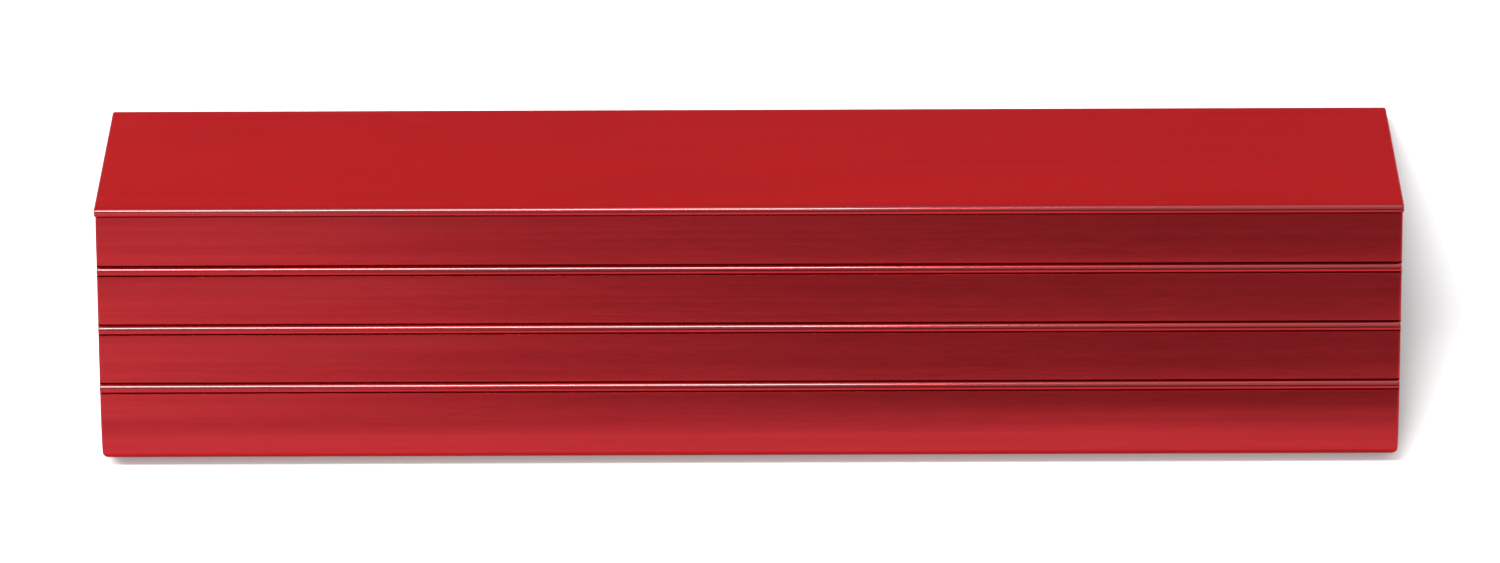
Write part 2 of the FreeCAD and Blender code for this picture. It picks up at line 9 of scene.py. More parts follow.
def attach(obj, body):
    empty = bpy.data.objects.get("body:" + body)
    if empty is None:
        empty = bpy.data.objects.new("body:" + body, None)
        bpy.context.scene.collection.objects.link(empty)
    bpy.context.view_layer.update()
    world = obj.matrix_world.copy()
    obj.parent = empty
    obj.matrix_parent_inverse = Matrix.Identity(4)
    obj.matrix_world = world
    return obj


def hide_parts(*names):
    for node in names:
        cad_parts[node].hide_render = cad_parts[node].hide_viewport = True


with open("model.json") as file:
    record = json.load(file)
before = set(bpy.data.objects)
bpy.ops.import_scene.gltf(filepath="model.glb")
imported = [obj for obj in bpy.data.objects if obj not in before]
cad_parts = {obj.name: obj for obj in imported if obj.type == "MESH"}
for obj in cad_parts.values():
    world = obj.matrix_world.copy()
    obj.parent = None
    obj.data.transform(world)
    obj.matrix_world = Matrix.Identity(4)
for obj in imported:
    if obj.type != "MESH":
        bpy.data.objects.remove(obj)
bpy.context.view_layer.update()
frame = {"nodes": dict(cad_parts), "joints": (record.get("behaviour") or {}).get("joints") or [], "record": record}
print("frame loaded,", len(frame["nodes"]), "nodes")

# The guide lies on its two free edges, so everything is drawn in the guide's own axes, in millimetres:
# x along it, y from the ribbed face inward, z up to the flange's flat top.
mm = 0.001


def named(items, name):
    return next(item for item in items if item["name"] == name)


inward = Vector(named(frame["joints"], "jaw_slide")["axis"]).normalized()
squareUp = Vector(named(frame["record"]["mounts"], "flange_back")["axis"]).normalized()
turnTool = Matrix((Vector((1, 0, 0)), inward, squareUp)).transposed().to_4x4()


def spanOf(node, place):
    # lowest and highest corner of a node, in millimetres in the axes of place
    toAxes = place.inverted()
    points = [toAxes @ vertex.co / mm for vertex in frame["nodes"][node].data.vertices]
    low = Vector([min(point[axis] for point in points) for axis in range(3)])
    high = Vector([max(point[axis] for point in points) for axis in range(3)])
    return low, high


# mesh helpers

def arc(y, z, radius, start, end, steps):
    # points on a round, angles in degrees from +y towards +z
    angles = [math.radians(start + (end - start) * step / steps) for step in range(steps + 1)]
    return [(y + radius * math.cos(angle), z + radius * math.sin(angle)) for angle in angles]


def rounded(corners, radius, steps=4):
    # an outline with each convex or hollow corner turned into a small round
    points = []
    for index, corner in enumerate(corners):
        here = Vector(corner)
        before = (Vector(corners[index - 1]) - here).normalized()
        after = (Vector(corners[(index + 1) % len(corners)]) - here).normalized()
        half = before.angle(after) / 2
        reach = radius / math.tan(half)
        middle = here + (before + after).normalized() * radius / math.sin(half)
        first = here + before * reach - middle
        swing = first.angle_signed(here + after * reach - middle)
        for step in range(steps + 1):
            point = middle + Matrix.Rotation(-swing * step / steps, 2) @ first
            points.append((point.x, point.y))
    return points


def square(low, high):
    # four corners of a box seen from its end
    return [(low.y, high.z), (low.y, low.z), (high.y, low.z), (high.y, high.z)]


def newPiece(name, points, faces):
    mesh = bpy.data.meshes.new(name)
    mesh.from_pydata([tuple(point) for point in points], [], faces)
    piece = bpy.data.objects.new(name, mesh)
    bpy.context.scene.collection.objects.link(piece)
    tidyNormals(piece)
    return piece


def tidyNormals(piece):
    shape = bmesh.new()
    shape.from_mesh(piece.data)
    bmesh.ops.remove_doubles(shape, verts=shape.verts, dist=1e-5)
    bmesh.ops.dissolve_degenerate(shape, edges=shape.edges, dist=1e-5)
    bmesh.ops.recalc_face_normals(shape, faces=shape.faces)
    shape.to_mesh(piece.data)
    shape.free()


def shrunk(section, amount):
    # the section's outline moved into the material
    count = len(section)
    area = sum(section[i - 1][0] * section[i][1] - section[i][0] * section[i - 1][1] for i in range(count))
    side = 1 if area > 0 else -1
    moved = []
    for index in range(count):
        here = Vector(section[index])
        before = (here - Vector(section[index - 1])).normalized()
        after = (Vector(section[(index + 1) % count]) - here).normalized()
        normals = [Vector((-way.y, way.x)) * side for way in (before, after)]
        middle = (normals[0] + normals[1]).normalized()
        moved.append(here + middle * amount / max(middle.dot(normals[0]), 0.5))
    return moved


def bar(name, section, halfLength, edgeBreak, cornerRound=0, pairs=0, steps=3):
    # A section run along x with rounded ends. Where pairs is given, that many points at the section's start and
    # end face each other across a foot, whose corners are rounded off too.
    count = len(section)
    lowest = min(point[1] for point in section)
    cut = []
    for point in section:
        short = max(cornerRound - (point[1] - lowest), 0)
        cut.append(cornerRound - math.sqrt(max(cornerRound ** 2 - short ** 2, 0)))
    rings = []
    for step in range(steps + 1):
        angle = math.pi / 2 * step / steps
        outline = shrunk(section, edgeBreak * (1 - math.cos(angle)))
        rings.append((outline, halfLength - edgeBreak * (1 - math.sin(angle))))
    points = []
    for side in (-1, 1):
        for outline, x in (reversed(rings) if side < 0 else rings):
            points += [(side * (x - back), y, z) for (y, z), back in zip(outline, cut)]
    faces = []
    for ring in range(2 * len(rings) - 1):
        start = ring * count
        for index in range(count):
            after = (index + 1) % count
            faces.append((start + index, start + after, start + count + after, start + count + index))
    for start in (0, (2 * len(rings) - 1) * count):
        faces.append([start + index for index in range(max(pairs - 1, 0), count - max(pairs - 1, 0))])
        for index in range(pairs - 1):
            far = count - 1 - index
            faces.append((start + index, start + index + 1, start + far - 1, start + far))
    return newPiece(name, points, faces)


def turned(name, rows, segments=48, tube=False):
    # A turned shape about its own z axis. A row is (height, radius), and a radius may depend on the angle.
    points = []
    rings = []
    for height, radius in rows:
        if radius == 0:
            rings.append([len(points)])
            points.append((0, 0, height))
            continue
        ring = []
        for step in range(segments):
            angle = 2 * math.pi * step / segments
            reach = radius(angle) if callable(radius) else radius
            ring.append(len(points))
            points.append((reach * math.cos(angle), reach * math.sin(angle), height))
        rings.append(ring)
    faces = []
    joined = list(zip(rings, rings[1:])) + ([(rings[-1], rings[0])] if tube else [])
    for low, high in joined:
        for step in range(segments):
            after = (step + 1) % segments
            corners = [low[step % len(low)], low[after % len(low)],
                       high[after % len(high)], high[step % len(high)]]
            faces.append(list(dict.fromkeys(corners)))
    if not tube:
        faces += [ring for ring in (rings[0], rings[-1]) if len(ring) > 1]
    return newPiece(name, points, faces)


def carve(piece, cutters):
    # takes every cutter out of the piece
    for cutter in cutters:
        change = piece.modifiers.new("carve", "BOOLEAN")
        change.operation = "DIFFERENCE"
        change.solver = "EXACT"
        change.object = cutter
    carved = piece.evaluated_get(bpy.context.evaluated_depsgraph_get())
    made = bpy.data.meshes.new_from_object(carved)
    piece.modifiers.clear()
    piece.data = made
    for cutter in cutters:
        bpy.data.objects.remove(cutter)
    tidyNormals(piece)


def moved(piece, place):
    piece.data.transform(place)
    return piece


def joinedPieces(name, pieces):
    # several loose solids as one piece
    shape = bmesh.new()
    for piece in pieces:
        shape.from_mesh(piece.data)
        bpy.data.objects.remove(piece)
    mesh = bpy.data.meshes.new(name)
    shape.to_mesh(mesh)
    shape.free()
    piece = bpy.data.objects.new(name, mesh)
    bpy.context.scene.collection.objects.link(piece)
    return piece


def place(piece, body, node, slot, finish, at=Matrix(), sharp=35, laid=False):
    # Millimetres to metres, onto its CAD body, with its finish. A laid piece keeps its own origin on the table.
    at = at.copy()
    at.translation = at.translation * mm
    mesh = piece.data
    mesh.transform(Matrix.Scale(mm, 4))
    if laid:
        mesh.transform(toolPlace)
    mesh.polygons.foreach_set("use_smooth", [True] * len(mesh.polygons))
    mesh.set_sharp_from_angle(angle=math.radians(sharp))
    mesh.materials.clear()
    mesh.materials.append(finish)
    soften = piece.modifiers.new("even normals", "WEIGHTED_NORMAL")
    soften.keep_sharp = True
    soften.weight = 80
    piece.matrix_world = Matrix() if laid else toolPlace @ at
    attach(piece, body)
    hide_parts(node)


def alongInward(x, y, z):
    # a turned piece's own z axis laid along the guide's y
    return Matrix.Translation((x, y, z)) @ Matrix.Rotation(math.radians(-90), 4, "X")


def intoFlange(x, y, z):
    # a turned piece's own z axis pointing down out of the flange
    return Matrix.Translation((x, y, z)) @ Matrix.Rotation(math.radians(180), 4, "X")


# shader helper

class Wire:
    # a socket of a material, so that shader maths reads as an expression
    def __init__(self, tree, socket=None):
        self.tree = tree
        self.socket = socket

    def node(self, kind, settings=None, sockets=None, out=0):
        made = self.tree.nodes.new(kind)
        for key, value in (settings or {}).items():
            setattr(made, key, value)
        for key, value in (sockets or {}).items():
            if isinstance(value, Wire):
                self.tree.links.new(value.socket, made.inputs[key])
            else:
                made.inputs[key].default_value = value
        return Wire(self.tree, None if out is None else made.outputs[out])

    def maths(self, operation, *values):
        return self.node("ShaderNodeMath", {"operation": operation}, dict(enumerate(values)))

    def __add__(self, other):
        return self.maths("ADD", self, other)

    def __sub__(self, other):
        return self.maths("SUBTRACT", self, other)

    def __rsub__(self, other):
        return self.maths("SUBTRACT", other, self)

    def __mul__(self, other):
        return self.maths("MULTIPLY", self, other)

    def __truediv__(self, other):
        return self.maths("DIVIDE", self, other)

    def __pow__(self, other):
        return self.maths("POWER", self, other)

    def __lt__(self, other):
        return self.maths("LESS_THAN", self, other)

    def __gt__(self, other):
        return self.maths("GREATER_THAN", self, other)

    def __abs__(self):
        return self.maths("ABSOLUTE", self)

    __radd__ = __add__
    __rmul__ = __mul__

    def fade(self, start, end, low=0.0, high=1.0):
        # smooth change from low to high as the value goes from start to end
        return self.node("ShaderNodeMapRange", {"interpolation_type": "SMOOTHSTEP"},
                         {0: self, 1: start, 2: end, 3: low, 4: high})

    def noise(self, stretch, detail=2.0, roughness=0.5, offset=(0, 0, 0)):
        # noise in the piece's own axes, stretch in features per millimetre
        scaled = self.node("ShaderNodeMapping", {}, {
            "Vector": self, "Location": offset, "Scale": [each / mm for each in stretch]})
        return self.node("ShaderNodeTexNoise", {}, {
            "Vector": scaled, "Scale": 1.0, "Detail": detail, "Roughness": roughness})

    def mix(self, first, second):
        # from the first colour to the second as this value goes from 0 to 1
        def full(value):
            return value if isinstance(value, Wire) else (*value, 1)
        return self.node("ShaderNodeMix", {"data_type": "RGBA"},
                         {0: self, 6: full(first), 7: full(second)}, 2)

    def axes(self):
        # the three coordinates in millimetres
        parts = [self.node("ShaderNodeSeparateXYZ", {}, {0: self}, axis) for axis in range(3)]
        return [part / mm for part in parts]

    def bump(self, strength, distance):
        return self.node("ShaderNodeBump", {}, {
            "Height": self, "Strength": strength, "Distance": distance * mm})


def startFinish(name, laid=False):
    # a new material and its coordinates in the piece's own axes, or in the guide's for a laid piece
    material = bpy.data.materials.new(name)
    material.use_nodes = True
    material.node_tree.nodes.clear()
    spot = Wire(material.node_tree).node("ShaderNodeTexCoord", {}, {}, 3)
    if laid:
        back = toolPlace.inverted()
        spot = spot.node("ShaderNodeMapping", {}, {
            "Vector": spot, "Location": back.translation, "Rotation": back.to_euler()})
    return material, spot


def endFinish(start, sockets):
    surface = start.node("ShaderNodeBsdfPrincipled", {}, sockets)
    start.node("ShaderNodeOutputMaterial", {}, {"Surface": surface}, None)


# guide body: the red angle itself

guide = {
    "lipProud": 2.4,            # lip past the ribbed face
    "lipRound": 0.55,
    "lipSlope": 22,             # underside of the lip, degrees
    "flangeThick": 4.0,
    "flangeEdgeRound": 1.8,
    "wallThick": 5.0,
    "ribRound": 0.58,
    "ribProud": 0.42,
    "ribPitch": 7.15,
    "firstRib": 8.4,            # below the flange's top
    "ribs": 3,
    "panelHalf": 2.82,          # pillowed panel between two ribs
    "panelCrown": 0.12,
    "shoulder": 0.12,           # round between a panel and the groove beside a rib
    "sweepStart": 24.0,         # where the wall curves in to its foot
    "sweepRound": 20.0,
    "footOuterRound": 2.2,
    "footInnerRound": 1.0,
    "footCorner": 0.85,         # foot's corners seen from the front
    "reliefDepth": 0.8,
    "reliefWidth": 4.6,
    "reliefCorner": 0.3,
    "boreRoom": 0.05,           # a bore's end past what it holds
    "boreMouth": 0.2,
    "endBreak": 0.25,
}
lowestRib = guide["firstRib"] + guide["ribPitch"] * (guide["ribs"] - 1)

guideRed = {
    "bright": (0.312, 0.0175, 0.0210),
    "deep": (0.252, 0.0125, 0.0160),
    "edge": (0.62, 0.36, 0.37),     # tint at a glancing angle
    "satin": 0.25,
    "polished": 0.13,               # ribs and lip, rubbed smooth
    "sawn": 0.16,                   # the two ends are rougher by this
    "ribGloss": (0.02, 0.14),       # up from a rib's middle, where hands polish it
    "lipGlossOut": (-2.08, -2.2),
    "lipGlossUp": (-0.62, -0.45),
    "grain": (0.22, 7.5, 7.5),      # features per millimetre along x, y and z
    "streaks": (0.012, 1.1, 1.1),
    "clouds": (0.03, 0.12, 0.12),
    "sawLines": (0.5, 9, 0.5),
    "relief": 0.32,
}

turnedLow, turnedHigh = spanOf("guide_body", turnTool)
toolPlace = turnTool @ Matrix.Translation(Vector((0, turnedLow.y + guide["lipProud"], turnedHigh.z)) * mm)


def toolBox(node):
    return spanOf(node, toolPlace)


def middleOf(node):
    low, high = toolBox(node)
    return (low + high) / 2


guideLow, guideHigh = toolBox("guide_body")


def guideSection():
    # the angle's outline, from the foot up the ribbed face, over the flange and down the inner face
    foot = guideLow.z
    wall = guide["wallThick"]
    outerRound = guide["footOuterRound"]
    innerRound = guide["footInnerRound"]
    sweep = guide["sweepRound"]
    outerZ = foot + outerRound
    outerY = sweep - math.sqrt((sweep - outerRound) ** 2 - (outerZ + guide["sweepStart"]) ** 2)
    innerY = wall - innerRound
    innerZ = foot + innerRound
    # matching points across the foot, where its corners are rounded off
    rows = [foot + guide["footCorner"] * (1 - math.cos(math.radians(15 * step))) for step in range(7)]
    points = [(outerY - math.sqrt(max(outerRound ** 2 - (row - outerZ) ** 2, 0)), row) for row in rows]
    inner = [(innerY + math.sqrt(max(innerRound ** 2 - (row - innerZ) ** 2, 0)), row) for row in rows]
    meet = math.degrees(math.atan2(outerZ + guide["sweepStart"], outerY - sweep)) % 360
    start = math.degrees(math.atan2(rows[-1] - outerZ, points[-1][0] - outerY)) % 360
    points += arc(outerY, outerZ, outerRound, start, meet, 6)[1:]
    points += arc(sweep, -guide["sweepStart"], sweep, meet, 180, 14)[1:]
    # ribs and panels, from the lowest rib up
    edge = guide["panelHalf"]
    shoulder = guide["shoulder"]
    crown = guide["panelCrown"]
    panelRound = edge ** 2 / 2 / crown + crown / 2
    spread = math.degrees(math.asin(edge / panelRound))
    ribY = guide["ribRound"] - guide["ribProud"]
    points += arc(shoulder, -lowestRib - guide["ribPitch"] / 2 + edge, shoulder, 180, 90, 3)
    for count in range(guide["ribs"]):
        rib = -lowestRib + guide["ribPitch"] * count
        panel = rib + guide["ribPitch"] / 2
        points += arc(ribY, rib, guide["ribRound"], 270, 90, 20)
        points += arc(shoulder, panel - edge, shoulder, 270, 180, 3)
        points += arc(panelRound - crown, panel, panelRound, 180 + spread, 180 - spread, 12)[1:-1]
        if count < guide["ribs"] - 1:
            points += arc(shoulder, panel + edge, shoulder, 180, 90, 3)
        else:
            points.append((0, panel + edge))
    # lip
    lipY = guide["lipRound"] - guide["lipProud"]
    lip = arc(lipY, -guide["lipRound"], guide["lipRound"], 270 - guide["lipSlope"], 90, 18)
    points.append((0, lip[0][1] + lip[0][0] * math.tan(math.radians(guide["lipSlope"]))))
    points += lip
    # flange's free edge
    edgeRound = guide["flangeEdgeRound"]
    reach = guideHigh.y - edgeRound
    thick = guide["flangeThick"]
    points += arc(reach, -edgeRound, edgeRound, 90, 0, 10)
    points += arc(reach, edgeRound - thick, edgeRound, 0, -90, 10)
    # running face with the grooves of the wear strips, then the relief over the file
    for strip in ("wear_strip_rear", "wear_strip_front"):
        low, high = toolBox(strip)
        points += [(high.y, -thick), (high.y, high.z), (low.y, high.z), (low.y, -thick)]
    relief = wall + guide["reliefWidth"]
    roof = guide["reliefDepth"] - thick
    corner = guide["reliefCorner"]
    points += [(relief, -thick), (relief, roof), (wall + corner, roof), (wall, roof - corner)]
    cornerEnd = math.degrees(math.asin((inner[-1][1] - innerZ) / innerRound))
    points += arc(innerY, innerZ, innerRound, 0, cornerEnd, 3)[:-1]
    points += inner[::-1]
    return points, len(rows)


# small countersunk screws, whose places and shanks also set the guide's bores
stopScrew = {"shank": 1.2, "head": 2.2, "hex": 1.47, "hexDeep": 0.8, "threadDepth": 0.14, "threadPitch": 0.4}
stripScrew = {"shank": 0.95, "head": 1.8, "hex": 1.2, "hexDeep": 0.6, "threadDepth": 0.14, "threadPitch": 0.4}


def stripScrewSpots():
    # tips of the six small screws
    tips = toolBox("wear_strip_screws")[1]
    end = tips.x - stripScrew["head"]
    return [(x, middleOf(strip).y, tips.z) for strip in ("wear_strip_front", "wear_strip_rear")
            for x in (-end, 0, end)]


def boreCutters():
    # blind bores for the inserts, pins and screws, each a little deeper than what it holds
    cutters = []
    wall = guide["wallThick"]
    room = guide["boreRoom"]
    mouth = guide["boreMouth"]
    for node in ("thread_insert_left", "thread_insert_right", "guide_pin_left", "guide_pin_right"):
        low, high = toolBox(node)
        middle = middleOf(node)
        radius = (high.x - low.x) / 2
        # the 45 degree mouth runs on past the wall
        cutter = turned("cutter", [(low.y - room, radius), (wall - mouth, radius),
                                   (wall + 0.5, radius + mouth + 0.5)])
        cutters.append(moved(cutter, alongInward(middle.x, 0, middle.z)))
    tipY = toolBox("file_stop_screws")[0].y
    stop = middleOf("file_stop_right")
    for side in (-1, 1):
        cutter = turned("cutter", [(tipY - room, stopScrew["shank"]), (wall + 1, stopScrew["shank"])])
        cutters.append(moved(cutter, alongInward(side * stop.x, 0, stop.z)))
    shank = stripScrew["shank"]
    for spot in stripScrewSpots():
        cutter = turned("cutter", [(-room, shank), (guide["flangeThick"], shank)], 32)
        cutters.append(moved(cutter, intoFlange(*spot)))
    return cutters


def anodisedRed():
    material, spot = startFinish("anodisedRed", True)
    x, y, z = spot.axes()
    grain = spot.noise(guideRed["grain"], 3, 0.6)
    streaks = spot.noise(guideRed["streaks"], 2, 0.5, (3.1, 0, 0))
    clouds = spot.noise(guideRed["clouds"], 2, 0.5, (0, 7.7, 0))
    sawn = abs(x).fade(guideHigh.x - 0.06, guideHigh.x - 0.01)
    sawLines = spot.noise(guideRed["sawLines"], 2, 0.5)
    # height above the nearest rib's middle, on the ribbed face only
    above = z.maths("WRAP", z + guide["firstRib"], guide["ribPitch"] / 2, -guide["ribPitch"] / 2)
    onRib = abs(above).fade(0.62, 0.5) * (y < 0.3) * (z < 1.5 - guide["firstRib"]) * (z > -1.1 - lowestRib)
    onLip = (y < -1.5) * (z > -1.4)
    rubbed = onRib.maths("MAXIMUM", onRib, onLip)
    # only the upper shoulder of ribs and lip, where hands rub, is polished to a gloss
    gloss = z.maths("MAXIMUM", onRib * above.fade(*guideRed["ribGloss"]),
                    y.fade(*guideRed["lipGlossOut"]) * z.fade(*guideRed["lipGlossUp"]))
    tone = grain * 0.35 + streaks * 0.4 + clouds * 0.25
    colour = tone.fade(0.32, 0.68).mix(guideRed["deep"], guideRed["bright"])
    rough = (guideRed["satin"] + (grain - 0.5) * 0.08) * (1 - rubbed) + rubbed * guideRed["polished"]
    height = (grain * 0.7 + streaks * 0.6) * (1 - rubbed * 0.8) * (1 - sawn) + sawLines * sawn
    endFinish(spot, {
        "Base Color": colour,
        "Metallic": 1.0,
        "Roughness": rough + sawn * guideRed["sawn"],
        "Specular Tint": (*guideRed["edge"], 1),
        "Coat Weight": gloss * 0.96 + 0.04,
        "Coat Roughness": 0.07,
        "Normal": height.bump(guideRed["relief"], 0.02),
    })
    return material


section, pairs = guideSection()
guideBody = bar("guideBody", section, guideHigh.x, guide["endBreak"], guide["footCorner"], pairs)
carve(guideBody, boreCutters())
place(guideBody, "guide", "guide_body", "red_anodised", anodisedRed(), laid=True)
print("guide body made,", len(guideBody.data.polygons), "faces")


# finishes shared by the small parts

def metalFinish(name, look):
    # Bare, plated or blackened metal. Its grain follows x, or runs in rings about z where look says turned.
    material, spot = startFinish(name, look.get("laid", False))
    x, y, z = spot.axes()
    if look.get("turned"):
        fromAxis = (x * x + y * y) ** 0.5
        around = spot.node("ShaderNodeCombineXYZ", {}, {0: fromAxis * mm, 1: z * mm})
        grain = around.noise((look["grain"], look["grain"], 1), 3, 0.6)
    else:
        grain = spot.noise((0.15, look["grain"], look["grain"]), 3, 0.6)
    clouds = spot.noise((0.25, 0.25, 0.25), 3, 0.55, (4.2, 1.3, 0))
    scuffs = spot.noise((0.9, 3.5, 2.6), 4, 0.7, (9.1, 0, 2.2)).fade(0.58, 0.74)
    tone = (grain * 0.55 + clouds * 0.45).fade(0.3, 0.7)
    colour = (scuffs * look["worn"]).mix(tone.mix(look["deep"], look["bright"]), look["rubbed"])
    endFinish(spot, {
        "Base Color": colour,
        "Metallic": look.get("metallic", 1.0),
        "Roughness": look["rough"] + (clouds - 0.5) * 0.22 + (grain - 0.5) * 0.15,
        "Normal": (grain + scuffs * 0.3).bump(look["relief"], 0.01),
    })
    return material


def plasticFinish(name, look):
    # moulded plastic or rubber with a fine leather grain and a few rubbed places
    material, spot = startFinish(name)
    fine = spot.noise((6, 6, 6), 3, 0.6)
    broad = spot.noise((0.2, 0.35, 0.35), 3, 0.5, (2.2, 5.1, 0))
    rubbed = spot.noise((0.6, 2.2, 2.2), 4, 0.65, (0, 8.8, 3.1)).fade(0.56, 0.72)
    colour = (rubbed * 0.5).mix(broad.fade(0.3, 0.7).mix(look["deep"], look["bright"]), look["rubbed"])
    endFinish(spot, {
        "Base Color": colour,
        "Roughness": look["rough"] + (broad - 0.5) * 0.2 - rubbed * 0.12,
        "Normal": (fine + broad * 0.4).bump(look["relief"], 0.02),
    })
    return material


def threaded(low, high, outer, depth, pitch, rowsPerTurn=8):
    # rows of a screw thread for a turned piece, outer being its crest
    def radiusAt(height):
        def radius(angle):
            along = (height / pitch - angle / (2 * math.pi)) % 1
            return outer - depth * abs(2 * along - 1)
        return radius
    count = round((high - low) / pitch * rowsPerTurn)
    heights = [low + (high - low) * step / count for step in range(count + 1)]
    return [(height, radiusAt(height)) for height in heights]


def hexagon(across):
    # radius of a hexagon hole at any angle
    def radius(angle):
        return across / 2 / math.cos((angle + math.pi / 6) % (math.pi / 3) - math.pi / 6)
    return radius


# the file, with its teeth really cut

fileLook = {
    "thick": 3.0,
    "lean": 2,                  # degrees, given by the wedge behind it
    "toothPitch": 0.72,
    "toothDepth": 0.18,
    "toothTip": 0.22,           # shares of the pitch where the tip's narrow flat starts and ends
    "toothTipEnd": 0.38,
    "toothSlant": 25,           # degrees from square across the file
    "edgeBreak": 0.12,
    "bright": (0.50, 0.51, 0.53),
    "deep": (0.25, 0.255, 0.27),
    "rubbed": (0.68, 0.68, 0.69),
    "worn": 0.5,
    "rough": 0.36,
    "grain": 6,
    "relief": 0.25,
}


def toothedOutline(reach):
    # both toothed faces as one outline seen from the file's edge, the back one first
    thick = fileLook["thick"]
    deep = fileLook["toothDepth"]
    pitch = fileLook["toothPitch"]
    front = []
    back = []
    for tooth in range(int(2 * reach / pitch)):
        root = tooth * pitch - reach
        tip = root + pitch * fileLook["toothTip"]
        tipEnd = root + pitch * fileLook["toothTipEnd"]
        front += [(root, thick - deep), (tip, thick), (tipEnd, thick)]
        back += [(root, deep), (tip, 0), (tipEnd, 0)]
    return back + front[::-1]


def makeFile():
    low, high = toolBox("edge_file")
    lean = math.radians(fileLook["lean"])
    thick = fileLook["thick"]
    soft = fileLook["edgeBreak"]
    width = (high.z - low.z - thick * math.sin(lean)) / math.cos(lean)
    slant = math.tan(math.radians(fileLook["toothSlant"]))
    outline = toothedOutline(high.x + width * slant + 2)
    size = len(outline)
    # smooth safe edges: the teeth run out a little before them
    points = []
    for down, inset in ((0, soft), (soft, 0), (width - soft, 0), (width, soft)):
        shift = (width / 2 - down) * slant
        points += [(x + shift, min(max(y, inset), thick - inset), -down) for x, y in outline]
    faces = [list(range(size)), list(range(3 * size, 4 * size))]
    for start in (0, size, 2 * size):
        for index in range(size):
            after = (index + 1) % size
            faces.append((start + index, start + after, start + size + after, start + size + index))
    piece = newPiece("edgeFile", points, faces)
    # both ends cut square
    shape = bmesh.new()
    shape.from_mesh(piece.data)
    for side in (-1, 1):
        everything = shape.verts[:] + shape.edges[:] + shape.faces[:]
        cut = bmesh.ops.bisect_plane(shape, geom=everything, plane_co=(side * high.x, 0, 0),
                                     plane_no=(side, 0, 0), clear_outer=True)
        rim = [item for item in cut["geom_cut"] if isinstance(item, bmesh.types.BMEdge)]
        bmesh.ops.edgeloop_fill(shape, edges=rim)
    shape.to_mesh(piece.data)
    shape.free()
    tidyNormals(piece)
    at = Matrix.Translation((0, low.y, high.z - thick * math.sin(lean))) @ Matrix.Rotation(lean, 4, "X")
    place(piece, "guide", "edge_file", "file_steel", metalFinish("fileSteel", fileLook), at, sharp=20)


makeFile()

shimLook = {"edgeBreak": 0.08, "thin": 0.6, "bright": (0.055, 0.055, 0.06), "deep": (0.03, 0.03, 0.034),
            "rubbed": (0.10, 0.10, 0.11), "rough": 0.5, "relief": 0.2}


def makeShim():
    low, high = toolBox("angle_shim")
    corners = [(low.y, high.z), (low.y, low.z), (high.y, low.z), (low.y + shimLook["thin"], high.z)]
    piece = bar("angleShim", rounded(corners, shimLook["edgeBreak"]), high.x, shimLook["edgeBreak"])
    place(piece, "guide", "angle_shim", "shim_plastic", plasticFinish("shimPlastic", shimLook))


makeShim()
print("file and wedge made")

# the clamp jaw with its bores, and the rubber under its lip

jawLook = {
    "lipLap": 2.1,
    "lip": 1.4,
    "edgeGap": 0.25,            # under the file's lower edge
    "cornerRound": 0.3,
    "shankBore": 1.55,
    "headBore": 3.05,
    "headBoreStart": 8.2,
    "pinBore": 1.55,
    "pocket": 3.0,
    "pocketDepth": 0.9,
    "mouthBreak": 0.25,
    "laid": True,
    "bright": (0.075, 0.075, 0.081),
    "deep": (0.045, 0.045, 0.049),
    "rubbed": (0.22, 0.22, 0.23),
    "worn": 0.35,
    "metallic": 0.75,
    "rough": 0.38,
    "grain": 7,
    "relief": 0.25,
}


def makeJaw():
    low, high = toolBox("clamp_jaw")
    climb = -inward.z / inward.y        # its underside lies level with the table
    top = high.z - jawLook["lipLap"] - jawLook["edgeGap"]
    lipY = high.y - jawLook["lip"]
    corners = [(low.y, top), (low.y, low.z), (high.y, low.z + climb * (high.y - low.y)), (high.y, high.z),
               (lipY, high.z), (lipY, top)]
    piece = bar("clampJaw", rounded(corners, jawLook["cornerRound"]), high.x, jawLook["cornerRound"])
    pocket = jawLook["pocket"]
    pocketEnd = low.y + jawLook["pocketDepth"]
    shankBore = jawLook["shankBore"]
    headBore = jawLook["headBore"]
    headStart = jawLook["headBoreStart"]
    pinBore = jawLook["pinBore"]
    soft = jawLook["mouthBreak"]
    wide = pinBore + soft + 1
    cutters = []
    for side in ("left", "right"):
        screw = middleOf("clamp_screw_" + side)
        pin = middleOf("guide_pin_" + side)
        way = turned("cutter", [(low.y - 1, pocket), (pocketEnd, pocket), (pocketEnd, shankBore),
                                (headStart, shankBore), (headStart, headBore), (high.y + 1, headBore)], 64)
        cutters.append(moved(way, alongInward(screw.x, 0, screw.z)))
        hole = turned("cutter", [(low.y - 1, wide), (low.y + soft, pinBore), (high.y - soft, pinBore),
                                 (high.y + 1, wide)])
        cutters.append(moved(hole, alongInward(pin.x, 0, pin.z)))
    carve(piece, cutters)
    place(piece, "jaw", "clamp_jaw", "jaw_anodised", metalFinish("jawBlack", jawLook), laid=True)


makeJaw()

padLook = {"edgeBreak": 0.12, "bright": (0.035, 0.035, 0.035), "deep": (0.018, 0.018, 0.018),
           "rubbed": (0.07, 0.07, 0.07), "rough": 0.72, "relief": 0.4}


def makePad():
    low, high = toolBox("jaw_pad")
    piece = bar("jawPad", rounded(square(low, high), padLook["edgeBreak"]), high.x, padLook["edgeBreak"])
    place(piece, "jaw", "jaw_pad", "pad_rubber", plasticFinish("padRubber", padLook))


makePad()
print("clamp jaw and pad made")

# what holds the jaw at each end: screw, washer, retaining ring, threaded insert and pin

